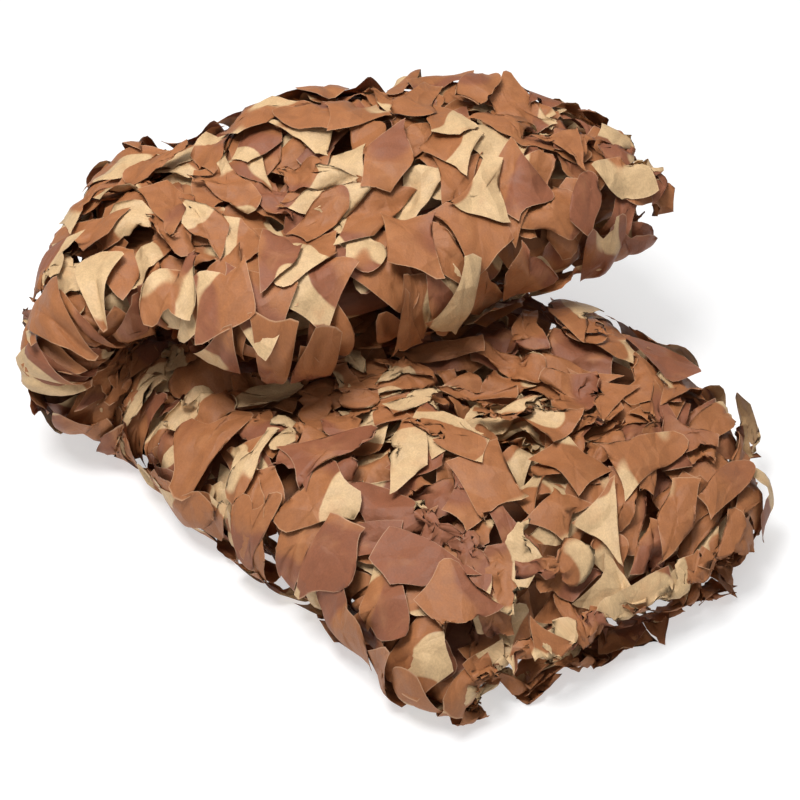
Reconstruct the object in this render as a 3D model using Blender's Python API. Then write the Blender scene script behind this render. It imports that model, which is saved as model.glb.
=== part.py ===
"""Camouflage netting: one leaf-cut cloth, folded to a long bundle and doubled over.

The cloth is folded lengthwise into six layers, then the bundle is bent back on itself at its
left end. The lower lobe lies on the floor and points to the front right; the upper lobe lies
on it and points to the right. Cuts free a lifted leaf in most cells of the outer skin.
Metres, +Z up, origin at the bottom centre of the whole bundle.
"""

import math

import bpy
import numpy as np

# Driving sizes, the count of cells along the bundle and across its skin, how square the
# section's oval is, and its usual height over its width
CLOTH_THICK = 0.0026
LENGTH_CELLS = 18
SKIN_CELLS = 12
SKIN_POWER = 2.6
SECTION_RATIO = 0.35
RANDOM_SEED = 10
FLOOR_Z = 0.5 * CLOTH_THICK

# Cross sections along the bundle, from the open end of the lower lobe to the fold at the left,
# and from the fold to the open end of the upper lobe. across_deg is the plan direction of the
# section's width, roll_deg tips the section's front edge down. Columns:
# x, y, z, half_wide, half_high, across_deg, roll_deg
CENTRE, HALF_WIDE, HALF_HIGH, ACROSS_DEG, ROLL_DEG = slice(0, 3), 3, 4, 5, 6
LOWER_SECTIONS = {
    "lower_end": (0.165, -0.269, 0.034, 0.181, 0.041, 30.0, 0.0),
    "lower_wide": (0.145, -0.194, 0.047, 0.197, 0.053, 35.0, 0.0),
    "lower_middle": (0.023, -0.060, 0.052, 0.196, 0.058, 43.0, 0.0),
    "lower_near": (-0.087, -0.002, 0.048, 0.163, 0.052, 54.5, 0.0),
}
UPPER_SECTIONS = {
    "upper_near": (-0.121, 0.044, 0.195, 0.145, 0.052, 90.0, 6.0),
    "upper_middle": (-0.018, 0.079, 0.194, 0.135, 0.058, 104.5, 8.0),
    "upper_wide": (0.099, 0.129, 0.193, 0.118, 0.053, 108.5, 8.0),
    "upper_end": (0.204, 0.137, 0.191, 0.072, 0.040, 116.0, 8.0),
}

# The fold at the left: the bundle turns half round on this radius, flattened by its own bend
FOLD_RADIUS = 0.071
FOLD_STEPS = 6
FOLD_START = (-0.210, 0.058, 0.046, 0.112, 0.040, 68.0, 0.0)
FOLD_FINISH = (-0.210, 0.054, 0.191, 0.105, 0.040, 87.0, 4.0)

# The three nested turns of the cloth at the front edge, outermost first: how thick and how
# wide each is, as shares of the section, and the shares of its run at which cells meet.
# Columns: level, reach, cell_marks
TURNS = {
    "skin": (1.00, 1.00, tuple(np.linspace(0.0, 1.0, SKIN_CELLS + 1))),
    "middle": (0.62, 0.88, (0.0, 0.22, 0.41, 0.465, 0.50, 0.535, 0.59, 0.78, 1.0)),
    "inner": (0.24, 0.76, (0.0, 0.28, 0.48, 0.50, 0.52, 0.72, 1.0)),
}
BACK_ANGLE_DEG = 26.0
BACK_FOLD_CELLS = 2
BACK_FOLD_BULGE = 0.10

# Cells of the skin that differ from the rest: cells counted along the bundle and across the
# skin, which runs from the back edge over the outer side, round the front, to the inner side.
# Columns: along_from, along_to, across_from, across_to, kind
SKIN_ZONES = {
    "floor_side": (0, 7, 0, 4, "plain"),
    "floor_edge": (0, 7, 4, 5, "gap"),
    "inside_the_fold": (6, 12, 7, 12, "plain"),
    "mouth_of_the_fold": (10, 12, 6, 7, "gap"),
    "sharpest_bend": (10, 11, 4, 5, "gap"),
    "resting_edge": (12, 16, 7, 9, "gap"),
    "under_the_upper_lobe": (12, 18, 9, 12, "gap"),
    "covered_top": (2, 6, 9, 12, "gap"),
}

# One cell: the shares of it at which its cuts stand, and how far its cloth strays
CELL_LENGTH = 0.07
CUT_MARKS = (0.0, 0.24, 0.76)
PER_CELL = len(CUT_MARKS)
RIPPLE = 0.006
COVERED_RIPPLE = 0.25
WANDER = 0.058
EDGE_TIP = 0.012
END_UNEVEN = 0.008
END_WAVE = 1.3

# One leaf from its neck to its tip, as shares of the gap that it was cut from. Columns:
# length, width, height above the cloth in metres
LEAF_ROWS = ((0.50, 0.64, 0.012), (0.88, 0.56, 0.018))
LEAF_TIP = (1.18, 0.0, 0.018)
LEAF_LIFT_SHARES = (0.9, 1.3)

# Broad lumps on the sides of the bundle that face away from the floor and the other lobe
LUMP = 0.15
LUMP_TURNS = 21.0
LUMP_SWAY = 4.0

# How finely curves are measured along the bundle and round a section
LENGTH_SAMPLES = 2000
ROUND_SAMPLES = 400


def smooth_rows(rows, knots, place):
    """A smooth curve through the rows, which stand at the knots, read at the places."""
    gap = np.diff(knots)[:, None]
    slope = np.diff(rows, axis=0) / gap
    inner = (slope[:-1] * gap[1:] + slope[1:] * gap[:-1]) / (gap[1:] + gap[:-1])
    tangent = np.vstack([slope[:1], inner, slope[-1:]])
    place = np.clip(place, knots[0], knots[-1])
    start = np.clip(np.searchsorted(knots, place, side="right") - 1, 0, len(gap) - 1)
    span = gap[start]
    part = (place - knots[start])[..., None] / span
    return (
        rows[start] * (1 + 2 * part) * (1 - part) ** 2
        + tangent[start] * span * part * (1 - part) ** 2
        + rows[start + 1] * part**2 * (3 - 2 * part)
        - tangent[start + 1] * span * part**2 * (1 - part)
    )


def unit(vectors):
    """Vectors of length one."""
    return vectors / np.linalg.norm(vectors, axis=-1, keepdims=True)


def bundle_rows():
    """All cross sections, lower lobe, half circle of the fold and upper lobe, and how far along
    the bundle each one stands."""
    fold = []
    for share in np.linspace(0.0, 1.0, FOLD_STEPS + 1):
        row = (1 - share) * np.array(FOLD_START) + share * np.array(FOLD_FINISH)
        row[0] -= FOLD_RADIUS * math.sin(math.pi * share)
        row[2] = FOLD_START[2] + FOLD_RADIUS * (1 - math.cos(math.pi * share))
        fold.append(row)
    rows = np.array([*LOWER_SECTIONS.values(), *fold, *UPPER_SECTIONS.values()])
    steps = np.linalg.norm(np.diff(rows[:, :3], axis=0), axis=1)
    return rows, np.concatenate([[0.0], np.cumsum(steps)])


def bundle_frame(place):
    """Section centre, width direction, outward direction and half sizes at each place."""
    rows, knots = bundle_rows()
    found = smooth_rows(rows, knots, place)
    step = 0.001
    ahead = smooth_rows(rows, knots, place + step)
    along = unit((ahead - smooth_rows(rows, knots, place - step))[..., CENTRE])
    across = np.radians(found[..., ACROSS_DEG])
    wide = np.stack([np.cos(across), np.sin(across), 0 * across], -1)
    high = unit(np.cross(along, wide))
    roll = np.radians(found[..., ROLL_DEG])[..., None]
    wide = unit(wide * np.cos(roll) + high * np.sin(roll))
    high = unit(np.cross(along, wide))
    return found, along, wide, high


def turn_outline(level, reach, share):
    """A flat oval, open at the back, read at shares of its length."""
    angle = np.radians(np.linspace(BACK_ANGLE_DEG, 360.0 - BACK_ANGLE_DEG, ROUND_SAMPLES))
    wide, high = np.cos(angle), np.sin(angle)
    size = (np.abs(wide) ** SKIN_POWER + np.abs(high) ** SKIN_POWER) ** (-1 / SKIN_POWER)
    wide, high = reach * size * wide, level * size * high
    steps = np.hypot(np.diff(wide), SECTION_RATIO * np.diff(high))
    run = np.concatenate([[0.0], np.cumsum(steps)])
    at = np.asarray(share) * run[-1]
    return np.stack([np.interp(at, run, wide), np.interp(at, run, high)], -1)


def section_stretches():
    """The section's stretches in the cloth's order, each as cell marks and a reader."""

    def turn(name, backwards):
        level, reach, marks = TURNS[name]
        marks = np.array(marks)

        def read(share):
            return turn_outline(level, reach, 1 - share if backwards else share)

        return 1 - marks[::-1] if backwards else marks, read

    def back_fold(first, second):
        def read(share):
            share = np.asarray(share, float)[..., None]
            middle = first + (second - first) * 0.5 * (1 - np.cos(np.pi * share))
            bulge = BACK_FOLD_BULGE * np.sin(np.pi * share)
            return middle + bulge * np.array([1.0, 0.0])

        return np.linspace(0.0, 1.0, BACK_FOLD_CELLS + 1), read

    skin, middle, inner = turn("skin", False), turn("middle", True), turn("inner", False)
    low_fold = back_fold(skin[1](1.0), middle[1](0.0))
    high_fold = back_fold(middle[1](1.0), inner[1](0.0))
    return [skin, low_fold, middle, high_fold, inner]


def section_point(cell):
    """Place in the section, as shares of its half sizes, at a cell count across the cloth."""
    found = np.zeros(cell.shape + (2,))
    first = 0
    for marks, read in section_stretches():
        cells = len(marks) - 1
        inside = (cell >= first) & (cell <= first + cells)
        share = np.interp(cell[inside] - first, np.arange(cells + 1), marks)
        found[inside] = read(share)
        first += cells
    return found


def along_places():
    """Station places that divide the bundle's outer side into equal cells."""
    fine = np.linspace(0, bundle_rows()[1][-1], LENGTH_SAMPLES)
    found, _, _, high = bundle_frame(fine)
    outer = found[:, CENTRE] + high * found[:, HALF_HIGH, None]
    run = np.concatenate([[0], np.cumsum(np.linalg.norm(np.diff(outer, axis=0), axis=1))])
    return fine, run / run[-1]


def folded_place(along_cell, across_cell, raised=0.0):
    """The point of the folded cloth at its flat cell counts, raised along its outer normal."""

    def surface(along_at, across_at):
        fine, share = along_places()
        place = np.interp(along_at / LENGTH_CELLS, share, fine)
        found, along, wide, high = bundle_frame(place)
        flat = section_point(across_at)
        past_fold = np.tanh((place - 0.5 * bundle_rows()[1][-1]) / FOLD_RADIUS)
        facing_out = 0.5 * (1 + flat[..., 1] * past_fold)
        lump = LUMP * facing_out * np.sin(LUMP_TURNS * place + LUMP_SWAY * flat[..., 0])
        side = (flat[..., 0] * found[..., HALF_WIDE])[..., None] * wide
        up = (flat[..., 1] * (1 + lump) * found[..., HALF_HIGH])[..., None] * high
        overrun = along_at - np.clip(along_at, 0, LENGTH_CELLS)
        return found[..., CENTRE] + side + up + (overrun * CELL_LENGTH)[..., None] * along

    step = 0.02
    last = sum(len(marks) - 1 for marks, _ in section_stretches())
    low, top = np.clip(across_cell - step, 0, last), np.clip(across_cell + step, 0, last)
    by_length = surface(along_cell + step, across_cell) - surface(along_cell - step, across_cell)
    by_width = surface(along_cell, top) - surface(along_cell, low)
    normal = unit(np.cross(by_width, by_length))
    point = surface(along_cell, across_cell) + np.asarray(raised)[..., None] * normal
    point[..., 2] = np.maximum(point[..., 2], FLOOR_Z)
    return point


def cell_kind(along, across):
    """What the skin's cell is: a leaf, an empty gap or plain cloth."""
    if across >= SKIN_CELLS:
        return "plain"
    for along_from, along_to, across_from, across_to, kind in SKIN_ZONES.values():
        if along_from <= along < along_to and across_from <= across < across_to:
            return kind
    return "leaf"


class ClothMesh:
    """Collects the cloth's corners in flat cell counts, and its faces."""

    def __init__(self):
        self.corner_of = {}
        self.flat = []
        self.raised = []
        self.faces = []
        draw = np.random.default_rng(RANDOM_SEED)
        corners = (PER_CELL * LENGTH_CELLS + 1, PER_CELL * SKIN_CELLS + 1)
        self.wander = draw.uniform(-WANDER, WANDER, (*corners, 2))
        self.ripple = draw.uniform(0.0, RIPPLE, corners)
        self.hinge = draw.integers(0, 4, (LENGTH_CELLS, SKIN_CELLS))
        self.lift = draw.uniform(*LEAF_LIFT_SHARES, (LENGTH_CELLS, SKIN_CELLS))

    def add(self, along, across, raised):
        """A new corner, by its flat place and its height over the cloth."""
        self.flat.append((along, across))
        self.raised.append(raised)
        return len(self.flat) - 1

    def lattice(self, row, column, ripple_share):
        """The shared corner at a third-of-a-cell row and column."""
        key = (row, column)
        if key not in self.corner_of:
            along = row // PER_CELL + CUT_MARKS[row % PER_CELL]
            across = column // PER_CELL + CUT_MARKS[column % PER_CELL]
            raised = 0.0
            outward = {0: -1, PER_CELL * LENGTH_CELLS: 1}.get(row, 0)
            along += outward * END_UNEVEN * math.sin(END_WAVE * across) / CELL_LENGTH
            if ripple_share:
                on_back = column in (0, PER_CELL * SKIN_CELLS)
                along += 0.0 if outward else self.wander[row, column, 0]
                across += 0.0 if on_back else self.wander[row, column, 1]
                raised = self.ripple[row, column] * ripple_share
                if column % PER_CELL:
                    along += outward * EDGE_TIP / CELL_LENGTH
            self.corner_of[key] = self.add(along, across, raised)
        return self.corner_of[key]

    def cut_cell(self, along, across, with_leaf):
        """Eight pieces of cloth round a gap, and the leaf that the cut frees."""
        corner = {}
        ripple_share = 1.0 if with_leaf else COVERED_RIPPLE
        row, column = PER_CELL * along, PER_CELL * across
        for r in range(PER_CELL + 1):
            for c in range(PER_CELL + 1):
                corner[r, c] = self.lattice(row + r, column + c, ripple_share)
        for r in range(PER_CELL):
            for c in range(PER_CELL):
                if (r, c) != (1, 1):
                    around = ((r, c), (r, c + 1), (r + 1, c + 1), (r + 1, c))
                    self.faces.append([corner[k] for k in around])
        if with_leaf:
            self.leaf(along, across, [corner[k] for k in ((1, 1), (1, 2), (2, 2), (2, 1))])

    def leaf(self, along, across, ring):
        """A leaf hinged on one side of its gap: neck, broad middle and pointed tip."""
        side = self.hinge[along, across]
        near_a, near_b, far_b, far_a = (ring[(side + k) % 4] for k in range(4))
        place = {k: np.array(self.flat[k]) for k in ring}
        lift = self.lift[along, across]
        cloth = max(self.raised[k] for k in ring)

        def leaf_corner(row, near, far):
            length, width, height = row
            side_a = place[near_a] + (place[far_a] - place[near_a]) * length
            side_b = place[near_b] + (place[far_b] - place[near_b]) * length
            own = place[near] + (place[far] - place[near]) * length
            middle = 0.5 * (side_a + side_b)
            return self.add(*(middle + (own - middle) * width), cloth + height * lift)

        before = (near_a, near_b)
        for row in LEAF_ROWS:
            after = (leaf_corner(row, near_a, far_a), leaf_corner(row, near_b, far_b))
            self.faces.append([before[0], before[1], after[1], after[0]])
            before = after
        self.faces.append([before[0], before[1], leaf_corner(LEAF_TIP, near_a, far_a)])

    def plain_cell(self, along, across):
        """One face with the corners that its neighbours already use along its sides."""
        row, column = PER_CELL * along, PER_CELL * across
        end_row, end_column = row + PER_CELL, column + PER_CELL
        walk = [(row, column + k) for k in range(PER_CELL)]
        walk += [(row + k, end_column) for k in range(PER_CELL)]
        walk += [(end_row, end_column - k) for k in range(PER_CELL)]
        walk += [(end_row - k, column) for k in range(PER_CELL)]
        is_corner = [r % PER_CELL == 0 and c % PER_CELL == 0 for r, c in walk]
        kept = [k for k, whole in zip(walk, is_corner) if whole or k in self.corner_of]
        self.faces.append([self.lattice(r, c, 0.0) for r, c in kept])


def cloth_object():
    """The whole folded cloth as one surface with thickness."""
    cloth = ClothMesh()
    last = sum(len(marks) - 1 for marks, _ in section_stretches())
    cells = [(i, j) for i in range(LENGTH_CELLS) for j in range(last)]
    plain = [cell for cell in cells if cell_kind(*cell) == "plain"]
    for along, across in plain:
        for r, c in ((0, 0), (0, 1), (1, 0), (1, 1)):
            cloth.lattice(PER_CELL * (along + r), PER_CELL * (across + c), 0.0)
    for kind in ("gap", "leaf"):
        for cell in cells:
            if cell_kind(*cell) == kind:
                cloth.cut_cell(*cell, kind == "leaf")
    for cell in plain:
        cloth.plain_cell(*cell)
    flat = np.array(cloth.flat)
    points = folded_place(flat[:, 0], flat[:, 1], np.array(cloth.raised))
    low, top = points.min(axis=0), points.max(axis=0)
    points[:, :2] -= 0.5 * (low + top)[:2]
    mesh = bpy.data.meshes.new("netting")
    mesh.from_pydata(points.tolist(), [], cloth.faces)
    mesh.update()
    netting = bpy.data.objects.new("netting", mesh)
    bpy.context.scene.collection.objects.link(netting)
    netting.modifiers.new("Same triangles on both faces", "TRIANGULATE")
    thickness = netting.modifiers.new("Thickness", "SOLIDIFY")
    thickness.thickness = CLOTH_THICK
    thickness.offset = 0.0
    return netting


def cloth_material():
    """Matt printed cloth, in the mid brown of its pattern."""
    material = bpy.data.materials.new("leaf_cut_cloth")
    material.use_nodes = True
    shader = material.node_tree.nodes["Principled BSDF"]
    shader.inputs["Base Color"].default_value = (0.40, 0.17, 0.065, 1.0)
    shader.inputs["Roughness"].default_value = 0.75
    shader.inputs["Metallic"].default_value = 0.0
    material.diffuse_color = (0.40, 0.17, 0.065, 1.0)
    return material


def main():
    """Clear the scene and build the netting."""
    for old in list(bpy.data.objects):
        bpy.data.objects.remove(old, do_unlink=True)
    netting = cloth_object()
    netting.data.materials.append(cloth_material())


main()
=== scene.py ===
# %% [markdown]
# # Camouflage netting
# One long printed cloth, cut all over with curved cuts so that it opens into leaves. It has been
# folded lengthwise, bent back on itself at its left end and dropped on the floor. This lesson
# shapes the bundle, lays the leaves on it one after another, puts the folded layers under
# them, and then prints and lights the cloth.

import math

import bpy
import numpy as np
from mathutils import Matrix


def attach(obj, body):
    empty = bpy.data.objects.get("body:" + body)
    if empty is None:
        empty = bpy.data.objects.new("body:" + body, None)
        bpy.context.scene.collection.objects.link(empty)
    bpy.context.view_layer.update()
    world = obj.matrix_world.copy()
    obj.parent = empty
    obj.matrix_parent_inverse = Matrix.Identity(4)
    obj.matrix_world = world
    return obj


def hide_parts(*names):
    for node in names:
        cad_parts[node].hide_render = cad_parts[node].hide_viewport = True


for name in ("Cube", "Camera", "Light"):
    if name in bpy.data.objects:
        bpy.data.objects.remove(bpy.data.objects[name], do_unlink=True)
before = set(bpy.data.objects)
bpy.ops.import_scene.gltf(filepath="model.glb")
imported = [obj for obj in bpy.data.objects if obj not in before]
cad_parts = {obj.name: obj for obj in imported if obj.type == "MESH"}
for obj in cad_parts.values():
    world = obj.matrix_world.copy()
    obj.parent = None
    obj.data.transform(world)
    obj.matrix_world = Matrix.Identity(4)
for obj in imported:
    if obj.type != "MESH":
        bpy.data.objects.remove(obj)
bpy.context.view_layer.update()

# %% [markdown]
# ## The bundle's shape
# The folded net is a flat pillow that is bent double. Its shape is a row of oval cross sections
# along a curve: four for each lobe, and a half circle of them for the fold. They were placed one
# by one at first, and then x, y, half_wide and across_deg of every row were moved by a random
# search until they met the outline in the photo. So those four columns are found numbers and
# not chosen ones. A smooth curve through the table gives every section in between.

# %% Sections of the two lobes and the fold
# Columns: x, y, z, half_wide, half_high, across_deg, roll_deg
CENTRE, HALF_WIDE, HALF_HIGH, ACROSS_DEG, ROLL_DEG = slice(0, 3), 3, 4, 5, 6
LOWER_SECTIONS = {
    "lower_end": (0.165, -0.269, 0.034, 0.181, 0.041, 30.0, 0.0),
    "lower_wide": (0.145, -0.194, 0.047, 0.197, 0.053, 35.0, 0.0),
    "lower_middle": (0.023, -0.060, 0.052, 0.196, 0.058, 43.0, 0.0),
    "lower_near": (-0.087, -0.002, 0.048, 0.163, 0.052, 54.5, 0.0),
}
UPPER_SECTIONS = {
    "upper_near": (-0.121, 0.044, 0.195, 0.145, 0.052, 90.0, 6.0),
    "upper_middle": (-0.018, 0.079, 0.194, 0.135, 0.058, 104.5, 8.0),
    "upper_wide": (0.099, 0.129, 0.193, 0.118, 0.053, 108.5, 8.0),
    "upper_end": (0.204, 0.137, 0.191, 0.072, 0.040, 116.0, 8.0),
}
FOLD_RADIUS = 0.071
FOLD_STEPS = 6
FOLD_START = (-0.210, 0.058, 0.046, 0.112, 0.040, 68.0, 0.0)
FOLD_FINISH = (-0.210, 0.054, 0.191, 0.105, 0.040, 87.0, 4.0)
# The middle of the whole bundle in plan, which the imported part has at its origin, as measured
# on the built part
PLAN_MIDDLE = np.array([-0.0134, -0.0715, 0.0])
CELL_LENGTH = 0.07
LENGTH_CELLS = 18
LUMP, LUMP_TURNS, LUMP_SWAY = 0.15, 21.0, 4.0


def bundle_rows():
    """All sections in order, lower lobe, fold, upper lobe, and the distance walked to each."""
    fold = []
    for share in np.linspace(0.0, 1.0, FOLD_STEPS + 1):
        row = (1 - share) * np.array(FOLD_START) + share * np.array(FOLD_FINISH)
        row[0] -= FOLD_RADIUS * math.sin(math.pi * share)
        row[2] = FOLD_START[2] + FOLD_RADIUS * (1 - math.cos(math.pi * share))
        fold.append(row)
    rows = np.array([*LOWER_SECTIONS.values(), *fold, *UPPER_SECTIONS.values()])
    steps = np.linalg.norm(np.diff(rows[:, :3], axis=0), axis=1)
    return rows, np.concatenate([[0.0], np.cumsum(steps)])


ROWS, KNOTS = bundle_rows()
print("sections", len(ROWS), "length along the middle %.3f m" % KNOTS[-1])


# %% Read a section anywhere along the bundle
def unit(vectors):
    """Vectors divided by their length."""
    return vectors / np.linalg.norm(vectors, axis=-1, keepdims=True)


def smooth_rows(place):
    """Cubic between each two rows, whose slope at a row is the mean of its two neighbours'."""
    gap = np.diff(KNOTS)[:, None]
    slope = np.diff(ROWS, axis=0) / gap
    inner = (slope[:-1] * gap[1:] + slope[1:] * gap[:-1]) / (gap[1:] + gap[:-1])
    tangent = np.vstack([slope[:1], inner, slope[-1:]])
    place = np.clip(place, KNOTS[0], KNOTS[-1])
    start = np.clip(np.searchsorted(KNOTS, place, side="right") - 1, 0, len(gap) - 1)
    span = gap[start]
    part = (place - KNOTS[start])[..., None] / span
    return (
        ROWS[start] * (1 + 2 * part) * (1 - part) ** 2
        + tangent[start] * span * part * (1 - part) ** 2
        + ROWS[start + 1] * part**2 * (3 - 2 * part)
        - tangent[start + 1] * span * part**2 * (1 - part)
    )


def bundle_frame(place):
    """Section row, and its forward, width and outward directions, each square to the next."""
    found = smooth_rows(place)
    forward = unit((smooth_rows(place + 0.001) - smooth_rows(place - 0.001))[..., CENTRE])
    across = np.radians(found[..., ACROSS_DEG])
    wide = np.stack([np.cos(across), np.sin(across), 0 * across], -1)
    high = unit(np.cross(forward, wide))
    roll = np.radians(found[..., ROLL_DEG])[..., None]
    wide = unit(wide * np.cos(roll) + high * np.sin(roll))
    return found, forward, wide, unit(np.cross(forward, wide))


def even_places():
    """Places along the middle that stand equal distances apart on the bundle's outer side."""
    fine = np.linspace(0, KNOTS[-1], 2000)
    found, _, _, high = bundle_frame(fine)
    outer = found[:, CENTRE] + high * found[:, HALF_HIGH, None]
    run = np.concatenate([[0], np.cumsum(np.linalg.norm(np.diff(outer, axis=0), axis=1))])
    return fine, run / run[-1]


PLACES, PLACE_SHARES = even_places()

# %% [markdown]
# ## Round the section
# A maker would call the section a flattened oval. A superellipse gives it: the power 2.6 makes
# the top and bottom flatter and the sides fuller than an ellipse. It is read at equal steps
# round its edge, so that leaves keep their size wherever they lie.

# %% A point of the bundle's outside
SKIN_POWER = 2.6
SECTION_RATIO = 0.35
# Near each end: cells over which the section is drawn in, its height there as a share, cells of
# the cap that closes it, and cells of the flat lip of loose leaves that reaches on from the cap
END_ROUND, END_OPEN, END_CAP, END_LIP = 1.0, 0.5, 0.4, 0.45
# How far the cap stands back in metres, to leave room for leaves, and how much more so at the
# back than at the front, as the lower end is cut at a slant
LOWER_END_BACK, UPPER_END_BACK, BACK_SLANT = 0.022, 0.010, 0.6
FLOOR_Z = 0.0006
PILE_DEPTH = 0.019
# The leaves stand off the sharp bend of the fold, so the base lies deeper there
FOLD_DEPTH, FOLD_CELL, FOLD_SPREAD = 0.014, 11.0, 2.4
# No depth is more than this share of the half height
MOST_DEPTH = 0.72


def smoothstep(low, top, value):
    """0 below low, 1 above top, and 3t^2 - 2t^3 between them."""
    t = np.clip((value - low) / (top - low), 0.0, 1.0)
    return t * t * (3 - 2 * t)


def oval(turn):
    """Superellipse |x|^p + |y|^p = 1 at a share of its round: 0 back, 1/4 outer side, 1/2 front."""
    angle = np.linspace(0.0, 2 * np.pi, 721)
    wide, high = np.cos(angle), np.sin(angle)
    size = (np.abs(wide) ** SKIN_POWER + np.abs(high) ** SKIN_POWER) ** (-1 / SKIN_POWER)
    wide, high = size * wide, size * high
    run = np.concatenate([[0], np.cumsum(np.hypot(np.diff(wide), SECTION_RATIO * np.diff(high)))])
    at = (np.asarray(turn) % 1.0) * run[-1]
    return np.stack([np.interp(at, run, wide), np.interp(at, run, high)], -1)


def end_shape(along):
    """Share left of the height and of the width, and the shift along the bundle, for a count of
    cells: the height follows a quarter circle to END_OPEN, then falls to a seam over the cap."""
    inside = np.minimum(along, LENGTH_CELLS - along)
    rounded = np.clip(inside / END_ROUND, 0.0, 1.0)
    drawn = END_OPEN + (1 - END_OPEN) * np.sqrt(1 - (1 - rounded) ** 2)
    closing = np.clip(1 + inside / END_CAP, 0.03, 1.0)
    back = 1 - smoothstep(0.0, 2 * END_ROUND, inside) - 0.5 * np.sqrt(1 - closing**2)
    lip = np.maximum(-inside - END_CAP, 0.0) * CELL_LENGTH
    lower = along < 0.5 * LENGTH_CELLS
    shift = np.where(lower, back * LOWER_END_BACK - lip, lip - back * UPPER_END_BACK)
    return drawn * closing, 0.85 + 0.15 * drawn * closing, shift


def bundle_surface(along, flat, depth):
    """Centre + width share x (half width - depth) + height share x (half height - depth), with
    lumps on the height, closed ends, more depth on the outer side of the fold, and none taken
    off where the bundle lies down."""
    place = np.interp(np.clip(along, 0, LENGTH_CELLS) / LENGTH_CELLS, PLACE_SHARES, PLACES)
    found, forward, wide, high = bundle_frame(place)
    shown = np.tanh((place - 0.5 * KNOTS[-1]) / FOLD_RADIUS)
    facing_out = 0.5 * (1 + flat[..., 1] * shown)
    lump = LUMP * facing_out * np.sin(LUMP_TURNS * place + LUMP_SWAY * flat[..., 0])
    lying = smoothstep(0.2, 0.8, flat[..., 1]) * smoothstep(0.45, 0.35, place / KNOTS[-1])
    height_left, width_left, shift = end_shape(along)
    side = flat[..., 0] * (found[..., HALF_WIDE] - depth) * width_left
    outer = 0.5 * (1 + flat[..., 1])
    depth = depth + FOLD_DEPTH * outer * np.exp(-(((along - FOLD_CELL) / FOLD_SPREAD) ** 2))
    depth = np.minimum(depth, MOST_DEPTH * found[..., HALF_HIGH]) * (1 - lying)
    up = flat[..., 1] * (1 + lump) * (found[..., HALF_HIGH] - depth) * height_left
    point = found[..., CENTRE] + side[..., None] * wide + up[..., None] * high
    shift = shift * (1 + BACK_SLANT * flat[..., 0] * (along < 0.5 * LENGTH_CELLS))
    return point + shift[..., None] * forward - PLAN_MIDDLE


def grid_normals(point):
    """Cross product of the steps along the grid's columns and rows, of length one."""
    return unit(np.cross(np.gradient(point, axis=1), np.gradient(point, axis=0)))


# %% The grid that the leaves are laid on
ROW_STEP, COLUMN_COUNT = 1 / 26, 288
END_REACH = END_CAP + END_LIP
ROW_ALONG = np.arange(-END_REACH, LENGTH_CELLS + END_REACH + ROW_STEP / 2, ROW_STEP)
COLUMN_TURN = np.arange(COLUMN_COUNT) / COLUMN_COUNT


def pile_grid():
    """Points and outward normals of the pile's base, the last column next to the first."""
    turns = np.arange(-2, COLUMN_COUNT + 2) / COLUMN_COUNT
    along, turn = np.meshgrid(ROW_ALONG, turns, indexing="ij")
    point = bundle_surface(along, oval(turn), PILE_DEPTH)
    return point[:, 2:-2], grid_normals(point)[:, 2:-2]


BASE, OUTWARD = pile_grid()
ROW_SIZE = np.linalg.norm(np.gradient(BASE, axis=0), axis=-1)
COLUMN_SIZE = np.linalg.norm(np.roll(BASE, -1, 1) - np.roll(BASE, 1, 1), axis=-1) / 2
print("grid", BASE.shape, "row %.1f mm, column %.1f mm" % (
    1e3 * np.median(ROW_SIZE), 1e3 * np.median(COLUMN_SIZE)))

# %% [markdown]
# ## The leaves
# A leaf is what a curved cut frees. The cutter draws it as corners joined by arcs, and so does
# this table: each corner has the bulge of the side that follows it, positive for a side that
# swells out and negative for one that is hollow. A fan of rings from the middle to the edge
# gives each leaf a surface that can bend.

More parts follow.
